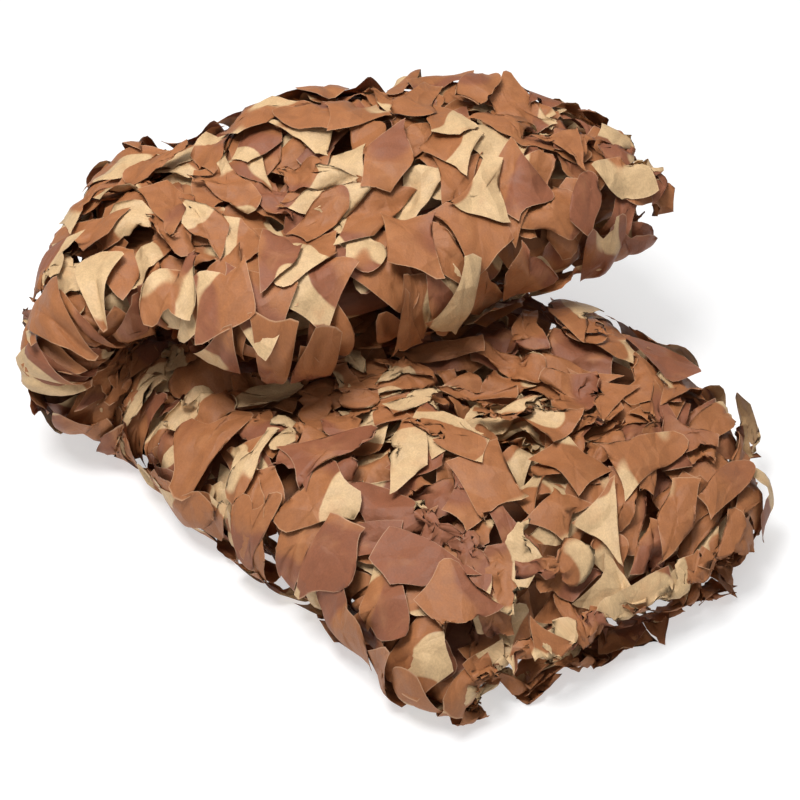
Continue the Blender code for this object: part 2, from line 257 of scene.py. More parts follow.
# %% Leaf outlines
# Each row: x and y of a corner in mm, and the bulge of the side to the next corner
LEAF_OUTLINES = {
    "kite": ((46, 2, -0.08), (4, 24, -0.06), (-38, 11, -0.16), (-30, -14, -0.06), (6, -22, -0.05)),
    "three_points": ((47, 6, -0.12), (-14, 35, -0.14), (-29, -31, -0.12)),
    "four_points": ((43, 4, -0.17), (4, 35, -0.14), (-41, -2, -0.18), (-2, -33, -0.14)),
    "tongue": ((-40, -13, 0.08), (15, -16, 0.95), (15, 16, 0.08), (-40, 12, -0.25)),
    "axe": ((-45, -9, -0.12), (16, -31, 0.10), (23, 27, -0.14), (-43, 8, 0.05)),
    "mitten": ((-38, -12, -0.1), (2, -20, 0.12), (35, -18, 0.75), (38, 4, -0.20), (14, 14, -0.14),
               (16, 37, 0.65), (-8, 33, -0.20), (-36, 13, 0.20)),
    "fishtail": ((-41, -10, 0.1), (2, -17, -0.14), (42, -28, -0.30), (40, 26, -0.14), (2, 16, 0.1),
                 (-39, 10, 0.5)),
    "fang": ((-39, -15, 0.05), (8, -20, -0.05), (46, -22, -0.14), (18, 16, -0.08), (-6, 27, -0.06),
             (-37, 15, 0.0)),
    "strip": ((-50, -11, 0.0), (24, -15, 0.0), (50, 0, 0.10), (24, 15, -0.06), (-48, 12, 0.05)),
    "star": ((41, -7, -0.14), (16, 17, -0.05), (8, 39, 0.70), (-14, 33, -0.18), (-39, 8, -0.10),
             (-25, -30, -0.16), (8, -22, 0.05)),
    "bird": ((48, -12, -0.12), (9, 18, -0.05), (-14, 35, -0.10), (-32, 10, -0.05), (-45, -12, -0.05),
             (-10, -20, -0.06), (14, -26, -0.05)),
    "thorn": ((46, -10, -0.12), (8, 17, -0.06), (-15, 34, 0.08), (-39, 4, 0.10), (-19, -25, 0.0)),
    "wing": ((46, -13, -0.14), (13, 14, 0.10), (-12, 18, -0.12), (-44, 20, 0.0), (-24, -14, 0.0),
             (10, -19, 0.0)),
    "ladle": ((-45, -8, -0.08), (-8, -11, -0.20), (10, -21, 0.80), (31, 10, 0.45), (8, 19, -0.25),
              (-10, 11, -0.08), (-45, 8, 0.10)),
}
EDGE_POINTS = 32
RINGS = (0.0, 0.30, 0.58, 0.82, 0.97, 1.0)


def arc_side(start, end, bulge, shares):
    """Points of the arc from start to end whose height is bulge x half its chord."""
    chord = end - start
    out = np.array([chord[1], -chord[0]])
    lift = 0.5 * bulge * (1 - (2 * shares - 1) ** 2)
    return start + shares[:, None] * chord + lift[:, None] * out


def leaf_edge(rows):
    """EDGE_POINTS points round the outline, every corner kept, shared out by side length."""
    corner = np.array([row[:2] for row in rows]) / 1000
    bulge = np.array([row[2] for row in rows])
    following = np.roll(corner, -1, axis=0)
    size = np.linalg.norm(following - corner, axis=1) * (1 + 0.6 * bulge**2)
    count = np.maximum(2, np.round(size / size.sum() * EDGE_POINTS)).astype(int)
    while count.sum() != EDGE_POINTS:
        side = np.argmax(size / count) if count.sum() < EDGE_POINTS else np.argmin(size / count)
        count[side] += 1 if count.sum() < EDGE_POINTS else -1
    sides = zip(corner, following, bulge, count)
    return np.vstack([arc_side(a, b, k, np.arange(n) / n) for a, b, k, n in sides])


LEAF_EDGES = np.array([leaf_edge(rows) for rows in LEAF_OUTLINES.values()])
FAN_STEPS = np.cross(LEAF_EDGES, np.roll(LEAF_EDGES, -1, axis=1))
for name, steps in zip(LEAF_OUTLINES, FAN_STEPS):
    print("leaf shape", name, "smallest fan step %.1f mm2" % (1e6 * steps.min()))

# %% Faces of one leaf: a fan round the middle, then rings of four-sided faces


def leaf_faces():
    """Middle point 0, then EDGE_POINTS points for each ring, counted round."""
    k = np.arange(EDGE_POINTS)
    following = (k + 1) % EDGE_POINTS
    fan = np.stack([0 * k, 1 + k, 1 + following], -1)
    quads = []
    for ring in range(len(RINGS) - 2):
        low, top = 1 + ring * EDGE_POINTS, 1 + (ring + 1) * EDGE_POINTS
        quads.append(np.stack([low + k, top + k, top + following, low + following], -1))
    return fan, np.vstack(quads)


FAN_FACES, RING_FACES = leaf_faces()
LEAF_POINTS = 1 + (len(RINGS) - 1) * EDGE_POINTS
print("faces in a leaf", len(FAN_FACES) + len(RING_FACES))

# %% [markdown]
# ## Where the leaves lie
# The cloth is gathered, so its leaves lie closer than they were cut and hide each other by
# halves. Three rounds of leaves are set out on a grid that is shaken, each leaf turned any way,
# the last round further apart than the others.
# The places that nothing can be seen of, under the bundle and inside the fold, get none.

# %% Leaf places
ROUND_SPACINGS = (0.038, 0.043, 0.058)
SHAKE = 0.42
# In cells past each end: where the first leaves are set out, and how far the last may lie
FIRST_ROW, LAST_LEAF = 0.3, 0.45
# Under the bundle: how far the base faces down and how near the floor it lies, in metres
FACING_DOWN, NEAR_FLOOR = -0.93, 0.02
# Where the grid's rows are closer than this share of their usual step, it is too tight
TIGHT_SHARE = 0.25
# Columns: along_from, along_to, turn_from, turn_to of the covered places with no leaf
COVERED = {
    "inside_the_fold": (6.5, 11.5, 0.70, 0.92),
    "on_the_lower_lobe": (12.5, 14.0, 0.70, 0.80),
}
draw = np.random.default_rng(5)


def leaf_places():
    """Row and column of every leaf's middle: a shaken grid for each round of leaves."""
    found = []
    for layer, spacing in enumerate(ROUND_SPACINGS):
        run = np.arange(-FIRST_ROW, LENGTH_CELLS + FIRST_ROW, spacing / CELL_LENGTH)
        for number, along in enumerate(run):
            row = int(np.clip((along - ROW_ALONG[0]) / ROW_STEP, 0, len(ROW_ALONG) - 1))
            girth = COLUMN_SIZE[row].sum()
            count = max(4, int(round(girth / spacing)))
            turn = (np.arange(count) + 0.5 * (number % 2) + 0.33 * layer) / count
            shaken = along + draw.uniform(-SHAKE, SHAKE, count) * spacing / CELL_LENGTH
            turn = (turn + draw.uniform(-SHAKE, SHAKE, count) / count) % 1.0
            found.append(np.stack([shaken, turn, np.full(count, layer)], -1))
    return np.vstack(found)


def in_sight(places):
    """True where the leaf isn't in a covered place, isn't in the tightest part of the fold and
    isn't well under the bundle."""
    along, turn = places[:, 0], places[:, 1]
    kept = (along > -LAST_LEAF) & (along < LENGTH_CELLS + LAST_LEAF)
    for along_from, along_to, turn_from, turn_to in COVERED.values():
        kept &= ~((along > along_from) & (along < along_to) & (turn > turn_from) & (turn < turn_to))
    row = np.clip(((along - ROW_ALONG[0]) / ROW_STEP).astype(int), 0, len(ROW_ALONG) - 1)
    column = (turn * COLUMN_COUNT).astype(int) % COLUMN_COUNT
    under = (OUTWARD[row, column, 2] < FACING_DOWN) & (BASE[row, column, 2] < NEAR_FLOOR)
    tight = ROW_SIZE[row, column] < TIGHT_SHARE * CELL_LENGTH * ROW_STEP
    return kept & ~under & ~tight


PLACES_OF_LEAVES = leaf_places()
PLACES_OF_LEAVES = PLACES_OF_LEAVES[in_sight(PLACES_OF_LEAVES)]
shuffle = draw.permutation(len(PLACES_OF_LEAVES))
shuffle = shuffle[np.argsort(PLACES_OF_LEAVES[shuffle, 2], kind="stable")]
PLACES_OF_LEAVES = PLACES_OF_LEAVES[shuffle]
LEAF_COUNT = len(PLACES_OF_LEAVES)
print("leaves", LEAF_COUNT)

# %% The habits of each leaf: shape, turn, size, and how it lifts and bends
SHAPE = draw.integers(0, len(LEAF_EDGES), LEAF_COUNT)
TURN = draw.uniform(0, 2 * np.pi, LEAF_COUNT)
SIZE = draw.uniform(0.80, 1.08, (LEAF_COUNT, 1)) * draw.uniform(0.9, 1.1, (LEAF_COUNT, 2))
SIZE[:, 1] *= draw.choice((-1, 1), LEAF_COUNT)
# The leaves of the upper lobe lie calmer than those of the lower one
CALM = 1 - 0.45 * smoothstep(10.5, 12.5, PLACES_OF_LEAVES[:, 0])
HINGE = draw.uniform(0, 2 * np.pi, LEAF_COUNT)
TILT = CALM * draw.uniform(0.0, 1.0, LEAF_COUNT) ** 1.2 * 0.80
CURL = CALM * draw.uniform(0.0, 1.0, LEAF_COUNT) ** 2 * 55.0
CURL_WAY = draw.uniform(0, 2 * np.pi, LEAF_COUNT)
CREASE_WAY = draw.uniform(0, 2 * np.pi, LEAF_COUNT)
CREASE_PLACE = draw.uniform(-0.014, 0.014, LEAF_COUNT)
CREASE = CALM * draw.uniform(-0.85, 0.90, LEAF_COUNT)
SECOND_WAY = CREASE_WAY + draw.uniform(0.6, 1.4, LEAF_COUNT)
SECOND_PLACE = draw.uniform(-0.018, 0.018, LEAF_COUNT)
SECOND_CREASE = CALM * draw.uniform(-0.55, 0.55, LEAF_COUNT)
WAVE_WAY = draw.uniform(0, 2 * np.pi, LEAF_COUNT)
WAVE_START = draw.uniform(0, 2 * np.pi, LEAF_COUNT)
WAVE_LENGTH = draw.uniform(0.022, 0.045, LEAF_COUNT)
WAVE_HEIGHT = draw.uniform(0.0005, 0.0030, LEAF_COUNT)
STAND_OFF = draw.uniform(0.25, 0.75, LEAF_COUNT)
# How far off in the flat cloth the leaf was cut, as the cloth is gathered, in metres
GATHERED_FROM = draw.uniform(-0.09, 0.09, (LEAF_COUNT, 2))

# %% [markdown]
# ## Laying the leaves down
# Cloth that is laid on cloth touches it at the high spots and bridges the low ones. The pile is
# kept as one height over the base at each grid point. A new leaf looks at the heights under it,
# takes the highest near each point and smooths them, which is how a stiff sheet rests. Then, from
# the top leaf down, each leaf springs up by its own tilt, curl and crease, as far as the leaves
# on it let it. That keeps most leaves clear of the others but not all: 323 of the 856 still
# pass through one.

# %% Windows on the grid
REACH = 25
NEAR = 2
CLOTH_GAP = 0.0010
CREASE_RADIUS = 0.0015
# How far past a leaf's edge it still counts as covering the grid
EDGE_ROOM = 0.0025
window = np.arange(-REACH, REACH + 1)
blur = np.exp(-0.5 * ((window[:, None] - window[None, :]) / 2.0) ** 2)
blur[np.abs(window[:, None] - window[None, :]) > NEAR] = 0.0
blur /= blur.sum(axis=1, keepdims=True)


def highest_near(height):
    """The largest value within NEAR steps along rows, then along columns."""
    for axis in (0, 1):
        best = height.copy()
        for step in range(1, NEAR + 1):
            best = np.maximum(best, np.roll(height, step, axis))
            best = np.maximum(best, np.roll(height, -step, axis))
        height = best
    return height


def turned_edge(leaf):
    """The leaf's outline at its own size, turned on the cloth."""
    cos, sin = np.cos(TURN[leaf]), np.sin(TURN[leaf])
    return (LEAF_EDGES[SHAPE[leaf]] * SIZE[leaf]) @ np.array([[cos, sin], [-sin, cos]])


def walked(sizes, start):
    """Distance in metres to each line of the window, summed up from the leaf's middle."""
    half = 0.5 * (sizes[1:] + sizes[:-1])
    run = np.concatenate([[0.0], np.cumsum(half)])
    return run - np.interp(REACH + start, np.arange(len(run)), run)


def leaf_window(leaf):
    """Grid rows and columns near the leaf, their distances from its middle in metres, and
    which of them it covers."""
    along, turn, _ = PLACES_OF_LEAVES[leaf]
    row, column = (along - ROW_ALONG[0]) / ROW_STEP, turn * COLUMN_COUNT
    r0, c0 = int(round(row)), int(round(column)) % COLUMN_COUNT
    here = np.ix_(np.clip(r0 + window, 0, len(ROW_ALONG) - 1), (c0 + window) % COLUMN_COUNT)
    x = walked(ROW_SIZE[here][:, REACH], row - round(row))[:, None] + 0 * window[None, :]
    y = walked(COLUMN_SIZE[here][REACH], column - round(column))[None, :] + 0 * window[:, None]
    edge = turned_edge(leaf)
    angle = np.arctan2(edge[:, 1], edge[:, 0])
    order = np.argsort(angle)
    far = np.linalg.norm(edge, axis=1)[order]
    reach = np.interp(np.arctan2(y, x), angle[order], far, period=2 * np.pi)
    return here, x, y, np.hypot(x, y) < reach + EDGE_ROOM


# %% The main folds of the bundle
# Ridges, and troughs with a height below zero. Columns: cells along, share of the round,
# direction in degrees from the bundle's length, half length, half width and height in metres
GIRTH = 0.8
LOWEST_PILE = -0.008
SLOW_WAVES, SLOW_WAVE_HEIGHT = 18, 0.005
MAIN_FOLDS = {
    "tip_ridge": (0.8, 0.56, 70.0, 0.070, 0.020, 0.015),
    "end_ridge": (0.9, 0.68, 80.0, 0.080, 0.020, 0.014),
    "right_roll": (1.3, 0.81, 20.0, 0.090, 0.020, 0.013),
    "end_trough": (0.2, 0.60, 15.0, 0.050, 0.022, -0.014),
    "tent": (2.2, 0.60, 60.0, 0.070, 0.022, 0.016),
    "side_trough": (2.0, 0.76, 70.0, 0.070, 0.018, -0.012),
    "middle_ridge": (3.1, 0.70, 25.0, 0.110, 0.022, 0.014),
    "front_roll": (3.7, 0.56, 10.0, 0.100, 0.020, 0.014),
    "near_trough": (4.9, 0.60, 35.0, 0.080, 0.020, -0.012),
    "far_roll": (1.9, 0.91, 0.0, 0.150, 0.030, 0.014),
    "fold_roll": (10.6, 0.35, 85.0, 0.090, 0.020, 0.008),
    "upper_trough": (13.6, 0.33, 55.0, 0.090, 0.020, -0.009),
    "upper_front_fold": (14.8, 0.42, 15.0, 0.120, 0.022, 0.010),
    "upper_top_fold": (16.0, 0.25, 40.0, 0.100, 0.022, 0.009),
}

# %% Each leaf rests on the ones under it


def first_pile():
    """Height of the gathered cloth below: a sum of slow waves and the folds of the table, each
    fold h exp(-(v/wide)^2) exp(-(u/long)^4) along its own way, and nothing under the lowest."""
    along, turn = np.meshgrid(ROW_ALONG, COLUMN_TURN, indexing="ij")
    total = np.zeros(along.shape)
    for _ in range(SLOW_WAVES):
        waves = draw.uniform(-15, 15)
        rounds = draw.integers(-11, 12)
        start = draw.uniform(0, 2 * np.pi)
        total += np.sin(2 * np.pi * (waves * along * CELL_LENGTH + rounds * turn) + start)
    height = SLOW_WAVE_HEIGHT * (total / 3 + 1.0)
    for place, turn_place, way_deg, half_long, half_wide, high in MAIN_FOLDS.values():
        x = (along - place) * CELL_LENGTH
        y = ((turn - turn_place + 0.5) % 1.0 - 0.5) * GIRTH
        way = math.radians(way_deg)
        u, v = math.cos(way) * x + math.sin(way) * y, math.cos(way) * y - math.sin(way) * x
        height += high * np.exp(-((v / half_wide) ** 2) - (u / half_long) ** 4)
    return np.maximum(height, LOWEST_PILE)


def rest_leaves():
    """Bottom leaf first: the smoothed highest height under each leaf, plus the cloth's gap."""
    pile = first_pile()
    rests = np.empty((LEAF_COUNT, len(window), len(window)))
    for leaf in range(LEAF_COUNT):
        here, _, _, covered = leaf_window(leaf)
        lowest = pile[here][covered].min()
        rest = blur @ highest_near(np.where(covered, pile[here], lowest)) @ blur.T + CLOTH_GAP
        pile[here] = np.where(covered, np.maximum(rest, pile[here] + CLOTH_GAP), pile[here])
        rests[leaf] = np.maximum(rest, lowest)
    return rests


RESTS = rest_leaves()
print("resting heights: middle %.1f mm, most %.1f mm" % (1e3 * np.median(RESTS), 1e3 * RESTS.max()))

# %% Each leaf springs up as far as the ones on it let it
# In metres from the leaf's middle: the hinge behind it, where the curl starts, and where a roof
# crease has come down again
HINGE_BACK, CURL_FROM, ROOF_REACH = 0.022, 0.006, 0.035
CURL_SLOWING = 12
MOST_DROP = 0.03


def crease_lift(x, y, way, place, slope):
    """A valley of the slope along a line for a positive slope, and a roof for a negative one."""
    off = np.cos(way) * x + np.sin(way) * y - place
    bend = np.sqrt(off**2 + CREASE_RADIUS**2)
    return slope * bend if slope > 0 else -slope * np.maximum(ROOF_REACH - bend, 0)


def own_lift(leaf, x, y, drop):
    """Tilt up from the hinge side + curled tip + two creases + a soft wave + standing off a
    sharp bend."""
    far = np.cos(HINGE[leaf]) * x + np.sin(HINGE[leaf]) * y
    lift = TILT[leaf] * np.maximum(far + HINGE_BACK, 0.0)
    curling = np.cos(CURL_WAY[leaf]) * x + np.sin(CURL_WAY[leaf]) * y
    past = np.maximum(curling - CURL_FROM, 0.0)
    lift = lift + CURL[leaf] * past**2 / (1 + CURL_SLOWING * past)
    lift = lift + crease_lift(x, y, CREASE_WAY[leaf], CREASE_PLACE[leaf], CREASE[leaf])
    lift = lift + crease_lift(x, y, SECOND_WAY[leaf], SECOND_PLACE[leaf], SECOND_CREASE[leaf])
    run = (np.cos(WAVE_WAY[leaf]) * x + np.sin(WAVE_WAY[leaf]) * y) / WAVE_LENGTH[leaf]
    lift = lift + WAVE_HEIGHT[leaf] * (1 + np.sin(2 * np.pi * run + WAVE_START[leaf]))
    return lift + STAND_OFF[leaf] * np.clip(drop, 0.0, MOST_DROP)


def read_window(values, row, column):
    """Four-point mean of a window's values at fractional rows and columns."""
    row, column = np.clip(row, 0, 2 * REACH - 1e-6), np.clip(column, 0, 2 * REACH - 1e-6)
    i, j = row.astype(int), column.astype(int)
    u, v = row - i, column - j
    return (
        values[i, j] * (1 - u) * (1 - v) + values[i + 1, j] * u * (1 - v)
        + values[i, j + 1] * (1 - u) * v + values[i + 1, j + 1] * u * v
    )


def keep_length(local, height):
    """Each ray of the leaf drawn in where it climbs, so that it keeps its length: a step s that
    rises by r reaches sqrt(s^2 - r^2) sideways."""
    rays = local[1:].reshape(len(RINGS) - 1, EDGE_POINTS, 2)
    heights = np.vstack([np.full(EDGE_POINTS, height[0]), height[1:].reshape(-1, EDGE_POINTS)])
    rise = np.diff(heights, axis=0)
    reach = np.linalg.norm(rays, axis=-1)
    step = np.diff(np.vstack([np.zeros(EDGE_POINTS), reach]), axis=0)
    drawn = np.cumsum(np.sqrt(np.maximum(step**2 - rise**2, (0.25 * step) ** 2)), axis=0)
    return np.vstack([local[:1], (rays * (drawn / reach)[..., None]).reshape(-1, 2)])


def spring_leaves():
    """Top leaf first: rest + lift, less the smoothed largest amount by which it would pass the
    leaves above, but never under its rest. Gives each leaf point's row, column and height."""
    ceiling = np.full(BASE.shape[:2], 1.0)
    points = np.empty((LEAF_COUNT, LEAF_POINTS, 3))
    flats = np.empty((LEAF_COUNT, LEAF_POINTS, 2))
    radii = np.array(RINGS[1:])[:, None, None]
    for leaf in range(LEAF_COUNT - 1, -1, -1):
        here, x, y, covered = leaf_window(leaf)
        middle = BASE[here][REACH, REACH]
        drop = (middle - BASE[here]) @ OUTWARD[here][REACH, REACH]
        wanted = RESTS[leaf] + own_lift(leaf, x, y, drop)
        over = np.where(covered, np.maximum(wanted - (ceiling[here] - 0.5 * CLOTH_GAP), 0.0), 0.0)
        height = np.maximum(wanted - blur @ highest_near(over) @ blur.T, RESTS[leaf])
        ceiling[here] = np.where(covered, np.minimum(ceiling[here], height), ceiling[here])
        local = np.vstack([[[0.0, 0.0]], (radii * turned_edge(leaf)).reshape(-1, 2)])
        steps = window + REACH
        row, column = np.interp(local[:, 0], x[:, 0], steps), np.interp(local[:, 1], y[0], steps)
        drawn = keep_length(local, read_window(height, row, column))
        row, column = np.interp(drawn[:, 0], x[:, 0], steps), np.interp(drawn[:, 1], y[0], steps)
        along, turn, _ = PLACES_OF_LEAVES[leaf]
        points[leaf, :, 0] = round((along - ROW_ALONG[0]) / ROW_STEP) + row - REACH
        points[leaf, :, 1] = round(turn * COLUMN_COUNT) + column - REACH
        points[leaf, :, 2] = read_window(height, row, column)
        flats[leaf] = local
    return points, flats


LEAF_GRID_POINTS, LEAF_FLATS = spring_leaves()
print("leaf heights: middle %.1f mm, most %.1f mm" % (
    1e3 * np.median(LEAF_GRID_POINTS[..., 2]), 1e3 * LEAF_GRID_POINTS[..., 2].max()))

# %% [markdown]
# ## From the pile to the bundle
# The heights are pressed softly so that no leaf stands out too far: h becomes
# h / (1 + (h/H)^4)^(1/4), which keeps their order and leaves the lower ones as they are. Each
# leaf point is then the base point at its row and column, moved out along the outward direction.
#
# The grid's steps are uneven at the ends and in the fold, which would stretch the leaves, so
# each one is drawn back towards the lengths that it was cut to. This takes each leaf by itself,
# and with it 496 of the 856 leaves pass through another, mostly by less than 15 mm.

# %% Leaf points in space
MOST_HEIGHT = 0.040
# Drawing back to length: how often, the share of each pull that is taken at a time, and the
# share of the motion out of the pile that is taken back
LENGTH_ROUNDS, PULL_SHARE, HELD_IN_LAYER = 40, 0.33, 0.8
# The leaves that touch the floor lie within this height of it, in metres
FLOOR_SPREAD = 0.005


def read_grid(values, row, column):
    """Four-point mean of the grid at a fractional row and column, the columns closing up."""
    row = np.clip(row, 0, len(ROW_ALONG) - 1 - 1e-6)
    i, j = np.floor(row).astype(int), np.floor(column).astype(int)
    u, v = (row - i)[..., None], (column - j)[..., None]
    a, b = j % COLUMN_COUNT, (j + 1) % COLUMN_COUNT
    return (
        values[i, a] * (1 - u) * (1 - v) + values[i + 1, a] * u * (1 - v)
        + values[i, b] * (1 - u) * v + values[i + 1, b] * u * v
    )


def press(height):
    """h / (1 + (h/H)^4)^(1/4): nearly h when it is small, never over H."""
    return height / (1 + (height / MOST_HEIGHT) ** 4) ** 0.25


def as_rings(values):
    """Leaf points as rings of EDGE_POINTS, the middle repeated as the first ring."""
    count, _, size = values.shape
    middle = np.repeat(values[:, :1], EDGE_POINTS, axis=1)
    return np.concatenate([middle, values[:, 1:]], axis=1).reshape(count, len(RINGS), EDGE_POINTS, size)


def steps_between(rings):
    """Steps out along the rays, round the rings, and slanting from each ring to the next."""
    onward = np.roll(rings, -1, axis=2)
    return rings[:, 1:] - rings[:, :-1], onward[:, 1:] - rings[:, 1:], onward[:, 1:] - rings[:, :-1]


def keep_lengths(point, outward, rounds):
    """Cloth doesn't stretch. Each step that is longer than its flat length draws its two ends
    together and each shorter one pushes them apart, again and again, a little at a time. Part
    of the motion out of the pile is taken back, so that a leaf stays near its own layer."""
    flat = [np.linalg.norm(step, axis=-1) for step in steps_between(as_rings(LEAF_FLATS))]
    rings, out = as_rings(point), as_rings(outward)
    for _ in range(rounds):
        move = np.zeros_like(rings)
        for kind, step in enumerate(steps_between(rings)):
            size = np.maximum(np.linalg.norm(step, axis=-1), 1e-6)
            pull = (0.5 * (1 - flat[kind] / size))[..., None] * step
            move[:, (1 if kind == 1 else 0):(None if kind == 1 else -1)] += pull
            move[:, 1:] -= pull if kind == 0 else np.roll(pull, 1, axis=2)
        move -= HELD_IN_LAYER * (move * out).sum(-1, keepdims=True) * out
        rings += PULL_SHARE * move
        rings[:, 0] = rings[:, 0].mean(axis=1, keepdims=True)
    flat_rings = rings.reshape(len(rings), -1, 3)
    return np.concatenate([flat_rings[:, :1], flat_rings[:, EDGE_POINTS:]], axis=1)


def leaf_points():
    """All leaf points in metres, kept on the floor with the outermost leaf lowest."""
    row, column, height = np.moveaxis(LEAF_GRID_POINTS, -1, 0)
    height = press(height)
    outward = unit(read_grid(OUTWARD, row, column))
    point = read_grid(BASE, row, column) + height[..., None] * outward
    point = keep_lengths(point, outward, LENGTH_ROUNDS)
    lowest = FLOOR_Z + FLOOR_SPREAD * (1 - height / MOST_HEIGHT)
    point[..., 2] = np.maximum(point[..., 2], lowest)
    return point


LEAF_SPACE_POINTS = leaf_points()
print("leaf box", LEAF_SPACE_POINTS.min((0, 1)).round(3), LEAF_SPACE_POINTS.max((0, 1)).round(3))

# %% [markdown]
# ## The layers inside
# Under its leaves the net is the same cloth, folded lengthwise into six layers. Its outer turn
# lies just under the leaves, and its inner turns show at the open ends and through the gaps.

# %% Folded layers
# Columns: level and reach of each turn as shares of the section
TURNS = {"skin": (1.0, 1.0), "middle": (0.62, 0.88), "inner": (0.24, 0.76)}
BACK_ANGLE_DEG = 26.0
LAYER_DEPTH = 0.029
LOWEST_LAYER = 0.0065


def turn_outline(level, reach, share):
    """The oval from 26 degrees above its back point round to 26 degrees below it."""
    angle = np.radians(np.linspace(BACK_ANGLE_DEG, 360.0 - BACK_ANGLE_DEG, 400))
    wide, high = np.cos(angle), np.sin(angle)
    size = (np.abs(wide) ** SKIN_POWER + np.abs(high) ** SKIN_POWER) ** (-1 / SKIN_POWER)
    wide, high = reach * size * wide, level * size * high
    run = np.concatenate([[0], np.cumsum(np.hypot(np.diff(wide), SECTION_RATIO * np.diff(high)))])
    at = share * run[-1]
    return np.stack([np.interp(at, run, wide), np.interp(at, run, high)], -1)


def layers_outline():
    """Skin, low back fold, middle turn backwards, high back fold and inner turn, end to end."""
    share = np.linspace(0, 1, 61)
    skin = turn_outline(*TURNS["skin"], share)
    middle = turn_outline(*TURNS["middle"], 1 - share)
    inner = turn_outline(*TURNS["inner"], share)

    def back_fold(first, second):
        t = np.linspace(0, 1, 9)[1:-1, None]
        blend = first + (second - first) * 0.5 * (1 - np.cos(np.pi * t))
        return blend + 0.10 * np.sin(np.pi * t) * np.array([1.0, 0.0])

    low_fold, high_fold = back_fold(skin[-1], middle[0]), back_fold(middle[-1], inner[0])
    return np.vstack([skin, low_fold, middle, high_fold, inner])


def layers_points():
    """The folded layers as a grid, rows along the bundle and columns round the folds."""
    flat = layers_outline()
    along = np.linspace(0.0, LENGTH_CELLS, 181)
    grid_along = along[:, None] + 0 * flat[None, :, 0]
    point = bundle_surface(grid_along, np.broadcast_to(flat, (len(along), *flat.shape)), LAYER_DEPTH)
    point[..., 2] = np.maximum(point[..., 2], LOWEST_LAYER)
    return point


LAYERS = layers_points()
print("layers grid", LAYERS.shape)

# %% [markdown]
# ## Meshes
# The arrays go into Blender meshes in one call each. Each piece carries the place of its points
# in the flat cloth, in metres, as its UV map, so that the print runs over it as it was printed,
# and an edge mask that is one only along the cut, where the painted highlight of the cut edge goes.

# %% Put arrays into a mesh
# How much longer the flat cloth is than the gathered bundle, and its way round in metres
GATHER = 1.7
FLAT_GIRTH = 0.75
# The cells at which the lower lobe's leaves end and the upper lobe's begin
LOWER_TO, UPPER_FROM = 6.5, 11.5


def cloth_piece(name, points, triangles, quads, flat, edge):
    """A mesh object from points, faces, flat places in metres and the mask for the painted cut-edge
    highlight.
    """
    mesh = bpy.data.meshes.new(name)
    corners = np.concatenate([triangles.ravel(), quads.ravel()]).astype(np.int32)
    sizes = np.concatenate([np.full(len(triangles), 3), np.full(len(quads), 4)])
    mesh.vertices.add(len(points))
    mesh.vertices.foreach_set("co", points.astype(np.float32).ravel())
    mesh.loops.add(len(corners))
    mesh.loops.foreach_set("vertex_index", corners)
    mesh.polygons.add(len(sizes))
    starts = np.concatenate([[0], np.cumsum(sizes)[:-1]]).astype(np.int32)
    mesh.polygons.foreach_set("loop_start", starts)
    mesh.update(calc_edges=True)
    mesh.polygons.foreach_set("use_smooth", np.ones(len(sizes), bool))
    uv = mesh.uv_layers.new(name="flat_cloth")
    uv.uv.foreach_set("vector", flat[corners].astype(np.float32).ravel())
    mask = mesh.attributes.new("cut_edge_highlight", "FLOAT", "POINT")
    mask.data.foreach_set("value", edge.astype(np.float32))
    piece = bpy.data.objects.new(name, mesh)
    bpy.context.scene.collection.objects.link(piece)
    return piece


def leaf_piece(name, chosen):
    """All the chosen leaves as one piece of cloth."""
    points = LEAF_SPACE_POINTS[chosen]
    count = len(points)
    place = PLACES_OF_LEAVES[chosen]
    middle = np.stack([place[:, 0] * CELL_LENGTH, place[:, 1] * FLAT_GIRTH], -1) * GATHER
    flat = (middle + GATHERED_FROM[chosen])[:, None, :] + LEAF_FLATS[chosen]
    # The outer ring of each leaf gets the painted highlight of the cut edge
    edge = np.zeros(LEAF_POINTS)
    edge[-EDGE_POINTS:] = 1.0
    first = (np.arange(count) * LEAF_POINTS)[:, None, None]
    mirrored = (SIZE[chosen, 1] < 0)[:, None, None]
    fan = np.where(mirrored, FAN_FACES[:, ::-1], FAN_FACES) + first
    rings = np.where(mirrored, RING_FACES[:, ::-1], RING_FACES) + first
    return cloth_piece(
        name, points.reshape(-1, 3), fan.reshape(-1, 3), rings.reshape(-1, 4),
        flat.reshape(-1, 2), np.tile(edge, count),
    )


def layers_piece(name):
    """The folded layers as one piece of cloth."""
    rows, columns = LAYERS.shape[:2]
    number = np.arange(rows * columns).reshape(rows, columns)
    quads = np.stack([number[:-1, :-1], number[:-1, 1:], number[1:, 1:], number[1:, :-1]], -1)
    walk = np.linalg.norm(np.diff(LAYERS[rows // 4], axis=0), axis=1)
    across = np.concatenate([[0], np.cumsum(walk)])
    along = np.linspace(0, LENGTH_CELLS * CELL_LENGTH, rows)
    flat = np.stack(np.broadcast_arrays(along[:, None], across[None, :]), -1)
    # The borders of the layers get the painted highlight of the cut edge
    edge = np.zeros((rows, columns))
    edge[[0, -1], :] = 1.0
    edge[:, [0, -1]] = 1.0
    none = np.zeros((0, 3), int)
    return cloth_piece(
        name, LAYERS.reshape(-1, 3), none, quads.reshape(-1, 4), flat.reshape(-1, 2), edge.ravel()
    )


LOWER_PART = PLACES_OF_LEAVES[:, 0] < LOWER_TO
UPPER_PART = PLACES_OF_LEAVES[:, 0] > UPPER_FROM
FOLD_PART = ~LOWER_PART & ~UPPER_PART
PIECES = {
    "netting_folded_layers": layers_piece("netting_folded_layers"),
    "netting_lower_leaves": leaf_piece("netting_lower_leaves", np.flatnonzero(LOWER_PART)),
    "netting_fold_leaves": leaf_piece("netting_fold_leaves", np.flatnonzero(FOLD_PART)),
    "netting_upper_leaves": leaf_piece("netting_upper_leaves", np.flatnonzero(UPPER_PART)),
}


